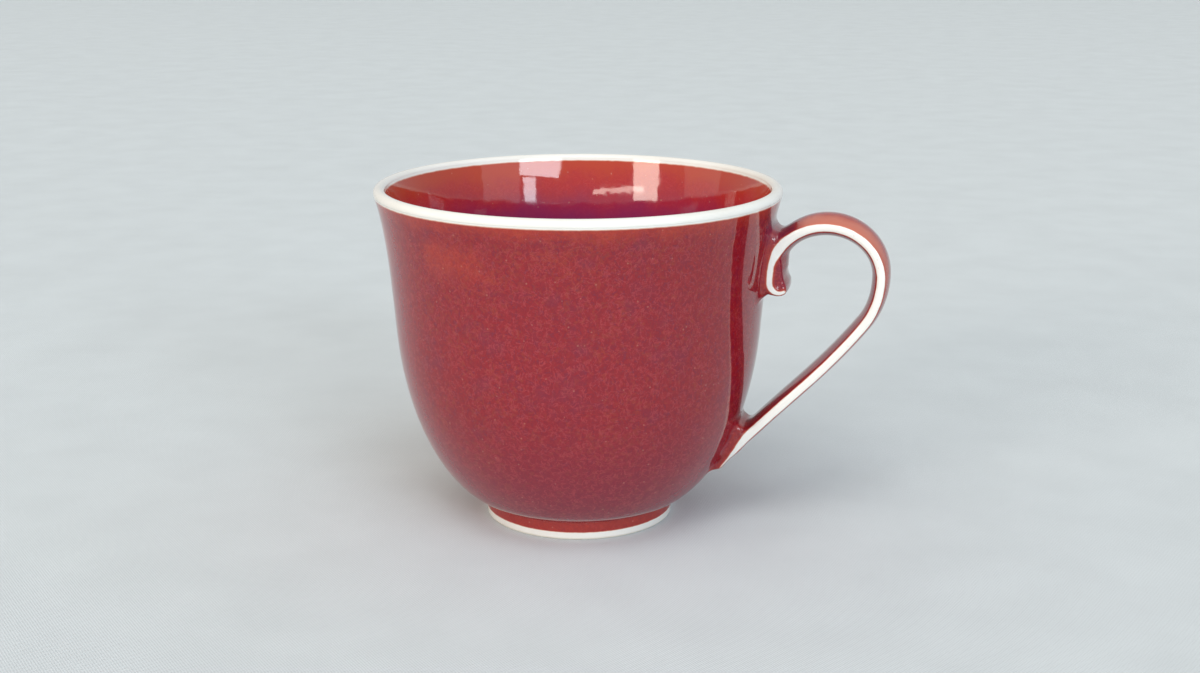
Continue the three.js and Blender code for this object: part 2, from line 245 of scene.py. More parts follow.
def outside_line(sizes):
    """The outside of the glaze, from its edge on the foot ring to the lip, with an eased crease."""
    ring_lean = 0.125 * MM
    foot = Vector((sizes.foot_radius, sizes.foot_height))
    side = Vector((sizes.foot_radius - ring_lean, sizes.bare_foot))
    line = bowl_line(sizes)
    # The glaze pools in the crease between the ring and the belly
    ring = [side.lerp(foot, share / 8) for share in range(7)]
    crease = bezier(ring[-1], foot, foot, line[3], count=7)
    return ring + crease[1:-1] + line[3:]


def lengths_along(line):
    steps = [(b - a).length for a, b in zip(line, line[1:])]
    return np.concatenate([[0], np.cumsum(steps)])


def offset(line, distances):
    """Moves each point of a line to its left by that point's own distance."""
    moved = []
    for i, here in enumerate(line):
        along = (line[min(i + 1, len(line) - 1)] - line[max(i - 1, 0)]).normalized()
        moved.append(here + float(distances[i]) * Vector((-along.y, along.x)))
    return moved


def coat_depth(line, sizes, thin_start):
    """Thickness of the coat along a line: full in the middle, and thin where it ends in sight."""
    lengths = lengths_along(line)
    from_edge = lengths[-1] - lengths
    if thin_start:
        from_edge = np.minimum(from_edge, lengths)
    return sizes.coat_edge + (sizes.coat - sizes.coat_edge) * ease(from_edge / sizes.feather)


def inside_line(sizes):
    """The inside of the glaze, from the axis over the floor and up to the lip."""
    line = bowl_line(sizes)
    lengths = lengths_along(line)
    lip = 2 * sizes.lip_radius
    wall = sizes.belly_wall + (lip - sizes.belly_wall) * lengths / lengths[-1]
    lining = offset(line, wall)
    # The floor is a curve that meets the lining along its own slope and lies level at the axis
    rise = lining[1] - lining[0]
    bend_radius = 0.3 * lining[0].x
    bend = Vector((lining[0].x - bend_radius, lining[0].y - bend_radius * rise.y / rise.x))
    start = Vector((0, bend.y))
    floor = []
    steps = 16
    for i in range(steps):
        share = i / steps
        floor.append(start.lerp(bend, share).lerp(bend.lerp(lining[0], share), share))
    return floor + lining


def body_lines(sizes):
    """The porcelain's outside and inside under the glaze, a hair's breadth away from it."""
    gap = 0.02 * MM
    outside, inside = outside_line(sizes), inside_line(sizes)
    outer = offset(outside, coat_depth(outside, sizes, True) + gap)
    inner = offset(inside, -coat_depth(inside, sizes, False) - gap)
    inner[0].x = 0
    return outer, inner


class CUP_OT_throw_bowl(bpy.types.Operator):
    """Turns the porcelain bowl on its foot ring"""

    bl_idname = "coffee_cup.throw_bowl"
    bl_label = "Throw the bowl"
    bl_options = {"REGISTER", "UNDO"}

    def execute(self, context):
        sizes = context.scene.cup_sizes
        outer, inner = body_lines(sizes)
        stand = outer[0].x
        ring, well = 2.7 * MM, 2.8 * MM
        cove, inner_round, outer_round = 1.5 * MM, 0.5 * MM, 0.45 * MM
        inner_ring = stand - ring
        foot = [Vector((0, well))]
        foot += arc(Vector((inner_ring - 1.7 * MM, well - cove)), cove, 90, 15, 8)
        foot += arc(Vector((inner_ring + inner_round, inner_round)), inner_round, 180, 270, 6)
        foot += arc(Vector((stand - outer_round, outer_round)), outer_round, -90, -2, 6)
        lip = arc(lip_middle(sizes), sizes.lip_radius, -14, 160, 24)
        profile = foot + outer + lip + inner[::-1]
        piece = turned("porcelain_bowl", profile, sizes.turns, False)
        piece.data.materials.append(white_porcelain(context))
        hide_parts("cup_body")
        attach(piece, "root")
        return {"FINISHED"}


class CUP_OT_glaze_bowl(bpy.types.Operator):
    """Lays the red glaze on the outside and the inside of the bowl"""

    bl_idname = "coffee_cup.glaze_bowl"
    bl_label = "Glaze the bowl"
    bl_options = {"REGISTER", "UNDO"}

    def execute(self, context):
        sizes = context.scene.cup_sizes
        outside, inside = outside_line(sizes), inside_line(sizes)
        outside_back = offset(outside, coat_depth(outside, sizes, True))
        inside_back = offset(inside, -coat_depth(inside, sizes, False))
        inside_back[0].x = 0
        coats = (
            ("outside_coat", outside + outside_back[::-1], True, "outside_glaze", outside_red),
            ("inside_coat", inside + inside_back[::-1], False, "inside_glaze", inside_red),
        )
        for name, profile, closed, node, finish in coats:
            piece = turned(name, profile, sizes.turns, closed)
            piece.data.materials.append(finish(context))
            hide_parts(node)
            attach(piece, "root")
        return {"FINISHED"}


# Handle's form. Its lines are in millimetres, as radius from the axis of the bowl and height.

STRAP_SIZES = {  # thickness at the edges, outer crown and inner crown, at each station
    "tip": (0.6, 0.05, 0.2),
    "scroll": (1.0, 0.05, 0.75),
    "back": (1.0, 0.05, 2.0),
    "shoulder": (1.9, 1.1, 1.2),
    "top": (1.5, 1.5, 1.6),
    "haunch": (1.65, 0.8, 1.3),
    "lower": (1.75, 0.8, 0.85),
    "foot": (1.75, 0.8, 0.85),
    "end": (1.1, 0.4, 0.8),
}
BACK_GAP = 1.5  # from the wall to the middle of the strap behind the scroll
SCROLL_DROP = 1.3  # from the arch's spring down to the middle of the scroll
SCROLL_START = 296  # where on its ellipse the scroll's tip lies, in degrees
LIMB_TURN = 37  # the strap has turned this far past level where its lower limb starts
LIMB_SWEEP = 0.38  # share of the limb over which its curve holds to the slope of each end
END_ANGLE = 52  # the limb runs into the wall this much above level
END_HEIGHT, END_GAP = 13.9, 1.0  # where it ends: height, and how far off the wall
ROOT = (-2.6, -0.5)  # its hidden root runs on from there by this much
TIP_NARROWING, TIP_LENGTH = 0.8, 4  # what each side loses at the strap's tip, and over what length
EDGE_ROUND, FACE_ROUND, PAD_ROUND, POOL_ROUND = 0.6, 0.3, 0.7, 0.8
SLIP_PADS = {  # lower and upper height, rise off the wall, room to the strap's edge, round of the rim
    "upper_pad": (51.1, 64.6, 1.2, 0.05, 2.4),
    "heel": (51.0, 55.6, 1.9, 0.25, 2.4),
    "throat": (60, 64.5, 2.6, 0.7, 1.8),
    "lower_pad": (16.8, 22.9, 1.65, 0.05, 2.0),
    "web": (17, 22.3, 2.5, 0.6, 1.4),
}
LAID_PADS = {  # the same pads before they settle: lower and upper height, and rise
    "upper_pad": (51.2, 64.4, 1.3),
    "heel": (51.1, 54.6, 1.9),
    "throat": (60, 64.4, 2.8),
    "lower_pad": (16.2, 22.6, 1.7),
    "web": (17, 22, 2.4),
}
POOL_SINK, POOL_HEIGHT = 1.0, 4.4  # the glaze pool's foot under the scroll's middle, and its height
POOL_RADIUS, POOL_TAPER = 1.33, 0.63  # its radius at the foot, and what it loses up to its top
POOL_IN, POOL_LEAN, POOL_HOLLOW = 0.1, 0.3, 0.4  # how much nearer the wall: all, its top, its sides
POOL_SHORT = 0.5  # how far short of the strap's edges it stops
POOL_BLEND, PAD_BLEND, SLIP_BLEND = 2.2, 1.0, 1.4  # fillets of the pool, between pads, and of the slip
WALL_BLEND = 2.1  # fillet of the slip where the handle meets the wall
TIGHTER, TIGHT_HEIGHT, TIGHT_SPAN = 0.8, 17.5, 4  # what it loses under the lower end, and where
SKIN_RISE, SKIN_SINK, SKIN_SPAN = 0.008, 0.22, 2.0  # the skin lies on the wall, then sinks under it


def soft_min(a, b, blend):
    """The lesser of two distances, with a fillet where they meet."""
    share = np.maximum(blend - np.abs(a - b), 0) / blend
    return np.minimum(a, b) - share * share * blend / 4


def soft_max(a, b, blend):
    return -soft_min(-a, -b, blend)


def dense(curve, pitch=0.1):
    """A line with points at an even pitch."""
    lengths = np.concatenate([[0], np.cumsum(np.linalg.norm(np.diff(curve, axis=0), axis=1))])
    even = np.linspace(0, lengths[-1], max(int(lengths[-1] / pitch), 2) + 1)
    return np.stack([np.interp(even, lengths, curve[:, i]) for i in (0, 1)], 1)


def curve_of(*corners, count=200):
    """A Bezier curve of any order, by repeated division."""
    share = np.linspace(0, 1, count)[:, None]
    levels = [np.repeat(np.array([corner], float), count, axis=0) for corner in corners]
    while len(levels) > 1:
        levels = [a * (1 - share) + b * share for a, b in zip(levels, levels[1:])]
    return levels[0]


def ellipse(middle, wide, high, first, last, count=200):
    turn = np.radians(np.linspace(first, last, count))
    return np.stack([middle[0] + wide * np.cos(turn), middle[1] + high * np.sin(turn)], 1)


class Line:
    """A fine line in the plane of the strap that finds its nearest place to each of many points."""

    def __init__(self, points, start=0.0):
        self.points = points
        steps = np.linalg.norm(np.diff(points, axis=0), axis=1)
        self.lengths = start + np.concatenate([[0], np.cumsum(steps)])
        tangents = np.gradient(points, self.lengths, axis=0)
        self.tangents = tangents / np.linalg.norm(tangents, axis=1)[:, None]

    def find(self, spots):
        """Finds the line's nearest point to each spot, for the calls of nearest that follow."""
        coarse = np.arange(0, len(self.points), 8)
        found = np.empty(len(spots), int)
        for i in range(0, len(spots), 20000):
            apart = spots[i:i + 20000, None] - self.points[None, coarse]
            found[i:i + 20000] = coarse[np.argmin((apart**2).sum(2), axis=1)]
        window = np.clip(found[:, None] + np.arange(-8, 9), 0, len(self.points) - 1)
        apart = spots[:, None] - self.points[window]
        closest = np.argmin((apart**2).sum(2), axis=1)
        self.found = np.take_along_axis(window, closest[:, None], 1)[:, 0]

    def nearest(self, spots):
        """Length along the line, distance to its left, and distance past either end."""
        best = self.found
        along = self.tangents[best]
        away = spots - self.points[best]
        ahead = (away * along).sum(1)
        left = away[:, 1] * along[:, 0] - away[:, 0] * along[:, 1]
        length = self.lengths[best] + ahead
        past = np.maximum(self.lengths[0] - length, length - self.lengths[-1])
        return np.clip(length, self.lengths[0], self.lengths[-1]), left, np.maximum(past, 0)


class HandleForm:
    """The finished surface of the handle, as a distance from any point in millimetres."""

    def __init__(self, cup, handle):
        self.half = handle.width / MM / 2
        wall = np.array([tuple(corner) for corner in outside_line(cup)]) / MM
        self.wall = Line(dense(wall, 0.25))
        self.wall_heights, self.wall_radii = wall[:, 1], wall[:, 0]
        spring_height = handle.arch_height / MM
        spring = self.wall_radius(spring_height)
        back_radius = spring + BACK_GAP
        reach = spring + handle.reach / MM
        wide, deep = handle.scroll_width / MM / 2, handle.scroll_depth / MM
        self.scroll_centre = (back_radius + wide, spring_height - SCROLL_DROP)
        scroll = ellipse(self.scroll_centre, wide, deep, SCROLL_START, 180)
        back = np.array([scroll[-1], (back_radius, spring_height)])
        half_span = (reach - back_radius) / 2
        middle = (back_radius + half_span, spring_height)
        arch = ellipse(middle, half_span, handle.arch_rise / MM, 180, 0)
        haunch_radius = handle.haunch / MM
        middle = (reach - haunch_radius, spring_height)
        haunch = ellipse(middle, haunch_radius, haunch_radius, 0, -LIMB_TURN)
        end = np.array([self.wall_radius(END_HEIGHT) + END_GAP, END_HEIGHT])
        sweep = LIMB_SWEEP * np.linalg.norm(haunch[-1] - end)
        down, up = np.array(step(sweep, -90 - LIMB_TURN)), np.array(step(sweep, END_ANGLE))
        limb = curve_of(haunch[-1], haunch[-1] + down, end + up, end)
        root = curve_of(end, end - 0.05 * up, end + ROOT, count=20)
        curves = [dense(curve) for curve in (scroll, back, arch, haunch, limb, root)]
        self.scroll = Line(curves[0])
        turn = self.scroll.lengths[-1]
        rest = np.concatenate([curves[1]] + [curve[1:] for curve in curves[2:]])
        self.strap = Line(rest, start=turn)
        ends = np.cumsum([len(curve) - 1 for curve in curves[1:]])
        back_end, arch_end, haunch_end, limb_end, _ = self.strap.lengths[ends]
        arch_length = arch_end - back_end
        # The length along the strap at which each of its sizes holds
        self.stations = np.array([
            0, turn, back_end + 2, back_end + 0.19 * arch_length, back_end + arch_length / 2,
            arch_end, haunch_end, limb_end - 12, limb_end,
        ])
        self.sizes = np.array(list(STRAP_SIZES.values()))

    def wall_radius(self, height):
        return np.interp(height, self.wall_heights, self.wall_radii)

    def sizes_at(self, lengths):
        """Thickness and the two crowns of the strap, eased from station to station."""
        i = np.searchsorted(self.stations, lengths, side="right") - 1
        i = np.clip(i, 0, len(self.stations) - 2)
        apart = self.stations[i + 1] - self.stations[i]
        share = ease((lengths - self.stations[i]) / apart)[:, None]
        return (self.sizes[i] * (1 - share) + self.sizes[i + 1] * share).T

    def half_at(self, lengths):
        """Half the strap's width, which is less near its tip."""
        return self.half - TIP_NARROWING * np.maximum(1 - lengths / TIP_LENGTH, 0) ** 2

    def band(self, line, spots, across):
        """Distance to a length of strap, and where each point lies on it."""
        length, left, past = line.nearest(spots)
        edge, outer, inner = self.sizes_at(length)
        half = self.half_at(length)
        share = np.clip(across / half, -1, 1)
        over = left - edge / 2 - outer * (1 - share**2)
        under = -left - edge / 2 - inner * (1 - share**2)
        slope = 2 * np.where(left > 0, outer, inner) * np.abs(share) / half
        face = soft_max(over, under, FACE_ROUND) / np.sqrt(1 + slope**2)
        solid = soft_max(face, np.abs(across) - half, EDGE_ROUND)
        solid = np.where(past > 0, soft_max(solid, past, EDGE_ROUND), solid)
        return solid, length, np.hypot(left, past), edge, left

    def pad(self, name, wall, across, height):
        """Slip that stands out of the wall, flat across, between two heights."""
        low, high, rise, room, corner = SLIP_PADS[name]
        half = self.half - room
        flat = wall - rise - np.minimum(across**2, half**2) / (2 * self.wall_radius(height))
        side = soft_max(flat, np.abs(across) - half, PAD_ROUND)
        return soft_max(side, np.abs(height - (low + high) / 2) - (high - low) / 2, corner)

    def spots(self, points):
        """Each point in the plane of the strap, and in the turned plane of the bowl's profile."""
        radius = points[:, 0] - AXIS_X / MM
        across, height = points[:, 1], points[:, 2]
        return np.stack([radius, height], 1), np.stack([np.hypot(radius, across), height], 1)

    def find(self, points):
        """Finds the nearest places on all lines, before the distances of points near these."""
        spots, wall_spots = self.spots(points)
        self.scroll.find(spots)
        self.strap.find(spots)
        self.wall.find(wall_spots)

    def parts(self, points):
        """Distances to the strap with its scroll and its pool, to the slip and to the wall."""
        spots, wall_spots = self.spots(points)
        across, height = points[:, 1], points[:, 2]
        turn, *_ = self.band(self.scroll, spots, across)
        strap, *_ = self.band(self.strap, spots, across)
        solid = soft_min(turn, strap, EDGE_ROUND)
        # The pool hangs in the scroll as a drop that tapers upward and towards its sides
        x, z = (spots - self.scroll_centre).T
        z = z + POOL_SINK
        rise = np.clip(z / POOL_HEIGHT, 0, 1)
        nearer = POOL_IN + POOL_LEAN * rise + POOL_HOLLOW * (across / self.half) ** 2
        drop = np.hypot(x + nearer, z - POOL_HEIGHT * rise) - (POOL_RADIUS - POOL_TAPER * rise)
        pool = soft_max(drop, np.abs(across) - (self.half - POOL_SHORT), POOL_ROUND)
        solid = soft_min(solid, pool, POOL_BLEND)
        _, inward, _ = self.wall.nearest(wall_spots)
        wall = -inward
        pads = {name: self.pad(name, wall, across, height) for name in SLIP_PADS}
        upper = soft_min(pads["upper_pad"], pads["heel"], PAD_BLEND)
        upper = soft_min(upper, pads["throat"], PAD_BLEND)
        lower = soft_min(pads["lower_pad"], pads["web"], PAD_BLEND)
        return solid, np.minimum(upper, lower), wall

    def distance(self, points):
        solid, slip, wall = self.parts(points)
        handle = soft_min(solid, slip, SLIP_BLEND)
        blend = WALL_BLEND - TIGHTER * np.clip((TIGHT_HEIGHT - points[:, 2]) / TIGHT_SPAN, 0, 1)
        # Past its fillet the surface sinks under the wall's own glaze
        wall = wall + SKIN_SINK * ease((handle - wall - blend) / SKIN_SPAN) - SKIN_RISE
        return soft_min(handle, wall, blend)


def settle(points, form, rounds):
    """Moves points straight to the form's surface, save those that lie far from it."""
    nudge, far, longest, flattest = 0.02, 0.9, 0.4, 0.2
    for _ in range(rounds):
        form.find(points)
        here = form.distance(points)
        slope = [form.distance(points + nudge * axis) - here for axis in np.eye(3)]
        slope = np.stack(slope, 1) / nudge
        size = np.maximum((slope**2).sum(1), flattest)
        move = np.clip(here / size, -longest, longest)[:, None] * slope
        points = points - (np.abs(here) < far)[:, None] * move
    return points


def coordinates(mesh):
    flat = np.zeros(len(mesh.vertices) * 3)
    mesh.vertices.foreach_get("co", flat)
    return flat.reshape(-1, 3)


def place_vertices(mesh, points):
    mesh.vertices.foreach_set("co", np.ascontiguousarray(points, float).ravel())
    mesh.update()


def pulled_strap(form):
    """A ring is extruded once for each station of the strap, then laid along the strap's line."""
    pitches = ((form.scroll, 6), (form.strap, 8))
    points = np.concatenate([line.points[::pitch] for line, pitch in pitches])
    tangents = np.concatenate([line.tangents[::pitch] for line, pitch in pitches])
    lengths = np.concatenate([line.lengths[::pitch] for line, pitch in pitches])
    count = 24
    deselect()
    bpy.ops.mesh.primitive_circle_add(vertices=count, radius=MM, fill_type="NGON")
    strap = named("strap")
    bpy.ops.object.mode_set(mode="EDIT")
    bpy.ops.mesh.select_all(action="SELECT")
    for _ in points[1:]:
        bpy.ops.mesh.extrude_region_move(TRANSFORM_OT_translate={"value": (0, 0, MM)})
    bpy.ops.object.mode_set(mode="OBJECT")
    turn = np.linspace(0, 2 * math.pi, count, endpoint=False)
    # The ring is squared up towards the strap's edges
    cosine, sine = np.cos(turn), np.sin(turn)
    across = form.half * np.sign(cosine) * np.abs(cosine) ** 0.6
    edge, outer, inner = form.sizes_at(lengths)
    crown = np.where(sine > 0, outer[:, None], inner[:, None]) * (1 - (across / form.half) ** 2)
    out = sine * (edge[:, None] / 2 + crown)
    placed = np.zeros((len(points), count, 3))
    placed[..., 0] = AXIS_X / MM + points[:, :1] - tangents[:, 1:] * out
    placed[..., 1] = across
    placed[..., 2] = points[:, 1:] + tangents[:, :1] * out
    place_vertices(strap.data, placed.reshape(-1, 3) * MM)
    return strap


def slip_on_wall(name, form):
    """A pad of slip: a grid is laid on the wall, with room for its fillet, and given a back."""
    low, high, rise = LAID_PADS[name]
    margin, skirt, depth = WALL_BLEND + 1.6, 0.15, 1.9
    half = form.half + margin
    deselect()
    bpy.ops.mesh.primitive_grid_add(x_subdivisions=48, y_subdivisions=48, size=2)
    pad = named(name)
    flat = coordinates(pad.data)
    height = (low + high) / 2 + flat[:, 0] * ((high - low) / 2 + margin)
    across = flat[:, 1] * half
    inside = (np.abs(across) < form.half) & (height > low) & (height < high)
    radius = form.wall_radius(height)
    angle = across / radius
    radius = radius + np.where(inside, rise, skirt)
    placed = [AXIS_X / MM + radius * np.cos(angle), radius * np.sin(angle), height]
    place_vertices(pad.data, np.stack(placed, 1) * MM)
    bpy.ops.object.mode_set(mode="EDIT")
    bpy.ops.mesh.select_all(action="SELECT")
    bpy.ops.mesh.extrude_region_move(TRANSFORM_OT_translate={"value": (-depth * MM, 0, 0)})
    close_skin()
    bpy.ops.object.mode_set(mode="OBJECT")
    return pad


def scroll_pool(form):
    """The glaze that ran into the hollow of the scroll."""
    radius, taller, side_gap, lift = 1.4, 1.6, 0.8, 0.5
    middle, height = form.scroll_centre
    centre = (AXIS_X + middle * MM, 0, (height + lift) * MM)
    deselect()
    bpy.ops.mesh.primitive_cylinder_add(
        vertices=32, radius=radius * MM, depth=2 * (form.half - side_gap) * MM,
        location=centre, rotation=(math.pi / 2, 0, 0),
    )
    pool = named("pool")
    bpy.ops.transform.resize(value=(1, 1, taller), center_override=centre)
    at_origin(pool)
    return pool


def store(mesh, name, values):
    attribute = mesh.attributes.new(name, "FLOAT", "POINT")
    attribute.data.foreach_set("value", np.asarray(values, np.float32))


class CUP_OT_pull_handle(bpy.types.Operator):
    """Pulls the strap, rolls its scroll and lutes it to the wall with pads of slip"""

    bl_idname = "coffee_cup.pull_handle"
    bl_label = "Pull the handle"
    bl_options = {"REGISTER", "UNDO"}

    def execute(self, context):
        cup, handle = context.scene.cup_sizes, context.scene.handle_sizes
        form = HandleForm(cup, handle)
        strap = pulled_strap(form)
        parts = [strap, scroll_pool(form)]
        parts += [slip_on_wall(name, form) for name in LAID_PADS]
        deselect()
        for part in parts:
            part.select_set(True)
        context.view_layer.objects.active = strap
        bpy.ops.object.join()
        piece = named("strap_handle")
        unite = piece.modifiers.new("unite", "REMESH")
        unite.mode = "VOXEL"
        unite.voxel_size = handle.fineness
        bpy.ops.object.modifier_apply(modifier="unite")
        # Between settlings on the handle's form the clay is sponged even
        for rounds, iterations in ((3, 4), (2, 3), (2, 2), (3, 0)):
            points = settle(coordinates(piece.data) / MM, form, rounds)
            place_vertices(piece.data, points * MM)
            if iterations:
                sponge = piece.modifiers.new("sponge", "SMOOTH")
                sponge.factor = 0.5
                sponge.iterations = iterations
                bpy.ops.object.modifier_apply(modifier="sponge")
        at_origin(piece)
        bpy.ops.object.shade_smooth()
        mark_glaze(piece.data, form)
        piece.data.materials.clear()
        piece.data.materials.append(handle_glaze(context))
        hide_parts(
            "handle", "handle_outer_glaze", "handle_inner_glaze", "upper_joint", "lower_joint"
        )
        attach(piece, "root")
        return {"FINISHED"}


def mark_glaze(mesh, form):
    """Stores how far each point lies inside the strap's bare edge, and where it lies on the strap."""
    points = coordinates(mesh) / MM
    across, height = points[:, 1], points[:, 2]
    form.find(points)
    _, _, wall = form.parts(points)
    spots, _ = form.spots(points)
    _, length, away, edge, left = form.band(form.strap, spots, across)
    _, turn_length, turn_away, turn_edge, turn_left = form.band(form.scroll, spots, across)
    over, turn_over = away - edge / 2, turn_away - turn_edge / 2
    on_turn = turn_over < over
    along = np.where(on_turn, turn_length, length)
    rim = 0.12
    inset = np.maximum(form.half_at(along) - rim - np.abs(across), 0)
    bare = -np.minimum(over, turn_over) - inset
    # Slip covers the strap's edge near the wall, and on the lower limb more of it further up
    up_limb = np.clip(height - 13.6, 0, 12)
    covered = np.where(height > 40, 0.75, 1.6 + 0.14 * up_limb)
    store(mesh, "bare", np.minimum(bare, wall - covered))
    store(mesh, "wall", wall)
    store(mesh, "along", along)
    store(mesh, "across", across / form.half)
    store(mesh, "outer", np.where(on_turn, turn_left, left))


# Finishes

def new_material(name):
    """A new material with its shader, or the finished one of that name without."""
    material = bpy.data.materials.get(name)
    if material:
        return material, None, None
    material = bpy.data.materials.new(name)
    material.use_nodes = True
    return material, material.node_tree, material.node_tree.nodes["Principled BSDF"]


def add(tree, kind, **values):
    """Adds a node. A value that is an output is linked, and any other is set."""
    node = tree.nodes.new("ShaderNode" + kind)
    settings = {key: value for key, value in values.items() if hasattr(node, key)}
    for key, value in settings.items():
        setattr(node, key, value)
    for key, value in values.items():
        if key in settings:
            continue
        socket = node.inputs[int(key[1:])] if key[0] == "_" else node.inputs[key.replace("_", " ")]
        if isinstance(value, bpy.types.NodeSocket):
            tree.links.new(value, socket)
        else:
            socket.default_value = value
    return node


def mix_colours(tree, share, first, second):
    node = tree.nodes.new("ShaderNodeMix")
    node.data_type = "RGBA"
    for index, value in ((0, share), (6, first), (7, second)):
        if isinstance(value, bpy.types.NodeSocket):
            tree.links.new(value, node.inputs[index])
        elif index:
            node.inputs[index].default_value = (*value, 1)
        else:
            node.inputs[index].default_value = value
    return node.outputs[2]


def combine(tree, operation, first, *others):
    """Chains one operation over two or more values."""
    for value in others:
        first = add(tree, "Math", operation=operation, _0=first, _1=value).outputs[0]
    return first


def smooth_range(tree, value, low, high, start=0.0, end=1.0):
    """Goes from start to end, with eased ends, as the value goes from low to high."""
    node = add(
        tree, "MapRange", interpolation_type="SMOOTHSTEP",
        Value=value, From_Min=low, From_Max=high, To_Min=start, To_Max=end,
    )
    return node.outputs[0]


def noise(tree, where, scale, detail=2.0, roughness=0.5, distortion=0.0):
    node = add(
        tree, "TexNoise", Vector=where, Scale=scale, Detail=detail, Roughness=roughness,
        Distortion=distortion,
    )
    return node.outputs["Fac"]


def rise_and_fall(tree, value, low, full, falling, high):
    """Rises to 1 as the value goes from low to full, and falls as it goes from falling to high."""
    rise, fall = smooth_range(tree, value, low, full), smooth_range(tree, value, high, falling)
    return combine(tree, "MINIMUM", rise, fall)


def wavering(tree, value, where, scale, detail, width):
    """A value that a noise moves to and fro within a width."""
    wave = combine(tree, "MULTIPLY", noise(tree, where, scale, detail), width)
    return combine(tree, "ADD", value, combine(tree, "SUBTRACT", wave, width / 2))


def shader_group(name, inputs, outputs):
    """A new group of nodes with its ends, or the finished one of that name without."""
    group = bpy.data.node_groups.get(name)
    if group:
        return group, None, None
    group = bpy.data.node_groups.new(name, "ShaderNodeTree")
    for direction, sockets in (("INPUT", inputs), ("OUTPUT", outputs)):
        for socket, kind in sockets:
            group.interface.new_socket(socket, in_out=direction, socket_type="NodeSocket" + kind)
    return group, group.nodes.new("NodeGroupInput"), group.nodes.new("NodeGroupOutput")


def copper_red(context):
    """Colour and height of the red glaze, thin to thick and down to bare clay."""
    amounts = [(name, "Float") for name in ("Thin", "Thick", "Pool", "Shine", "Bare")]
    results = [("Color", "Color"), ("Height", "Float")]
    group, start, end = shader_group("copper_red", [("Place", "Vector"), *amounts], results)
    if not end:
        return group
    colours = context.scene.glaze_colours
    given = start.outputs
    where = given["Place"]
    clouds = noise(group, where, 62, 3, 0.55)
    patches = noise(group, where, 170, 3, 0.6)
    fibres = noise(group, where, 1150, 4, 0.62, 1.3)
    rust = noise(group, where, 830, 3, 0.6, 0.9)
    # Scarlet and rust lie in the crimson, and purple gathers in clouds
    fibrous = smooth_range(group, fibres, 0.42, 0.62)
    red = mix_colours(group, fibrous, colours.crimson, colours.scarlet)
    rusty = combine(group, "ADD", rust, combine(group, "MULTIPLY", clouds, 0.35))
    red = mix_colours(group, smooth_range(group, rusty, 0.66, 0.86, 0, 0.45), red, colours.brown)
    veins = smooth_range(group, fibres, 0.47, 0.33, 0, 0.45)
    cloudy = smooth_range(group, patches, 0.5, 0.72, 0, 0.35)
    deep = combine(group, "MAXIMUM", veins, cloudy, given["Thick"])
    red = mix_colours(group, deep, red, colours.purple)
    # Pale threads wind through it
    winding = combine(group, "SUBTRACT", noise(group, where, 560, 4, 0.6, 0.6), 0.5)
    winding = add(group, "Math", operation="ABSOLUTE", _0=winding).outputs[0]
    threads = smooth_range(group, winding, 0.030, 0.0, 0, 0.55)
    red = mix_colours(group, threads, red, colours.thread)
    # Painted light: this amount lays a brighter red where the inside of the bowl is lit
    red = mix_colours(group, given["Shine"], red, colours.painted_lit_red)
    # Violet: pooled glaze, with a bluish pallor that is partly a painted pale reflection
    red = mix_colours(group, given["Pool"], red, colours.violet)
    # Where the glaze runs thin the clay shows orange through it, and then pale
    ragged = combine(group, "ADD", given["Thin"], combine(group, "MULTIPLY", fibres, 0.5))
    red = mix_colours(group, smooth_range(group, ragged, 0.25, 1.25), red, colours.orange)
    red = mix_colours(group, smooth_range(group, given["Bare"], 0.1, 0.55), red, colours.blush)
    red = mix_colours(group, smooth_range(group, given["Bare"], 0.5, 0.95), red, colours.porcelain)
    # A few grains of undissolved glaze
    grains = add(group, "TexVoronoi", Vector=where, Scale=420.0, Randomness=1.0).outputs["Distance"]
    red = mix_colours(group, smooth_range(group, grains, 0.10, 0.05, 0, 0.22), red, colours.blush)
    group.links.new(red, end.inputs["Color"])
    pits = smooth_range(group, grains, 0.0, 0.07, -0.5, 0)
    swell = combine(group, "MULTIPLY", patches, 0.3)
    ripple = combine(group, "ADD", noise(group, where, 190, 2), swell, pits)
    group.links.new(ripple, end.inputs["Height"])
    return group


def finish_glaze(context, tree, shader, where, **amounts):
    """Feeds the red glaze's colour and its slight ripple to a shader."""
    glaze = tree.nodes.new("ShaderNodeGroup")
    glaze.node_tree = copper_red(context)
    tree.links.new(where, glaze.inputs["Place"])
    for name, value in amounts.items():
        tree.links.new(value, glaze.inputs[name.capitalize()])
    bump = add(tree, "Bump", Strength=0.35, Distance=0.00012, Height=glaze.outputs["Height"])
    gloss = smooth_range(tree, noise(tree, where, 300, 3), 0.35, 0.75, 0.035, 0.085)
    tree.links.new(glaze.outputs["Color"], shader.inputs["Base Color"])
    tree.links.new(gloss, shader.inputs["Roughness"])
    tree.links.new(bump.outputs["Normal"], shader.inputs["Normal"])
    shader.inputs["IOR"].default_value = 1.54


def place_on_piece(tree):
    """Place in the piece's own axes, and its three parts."""
    where = add(tree, "TexCoord").outputs["Object"]
    return where, add(tree, "SeparateXYZ", Vector=where).outputs


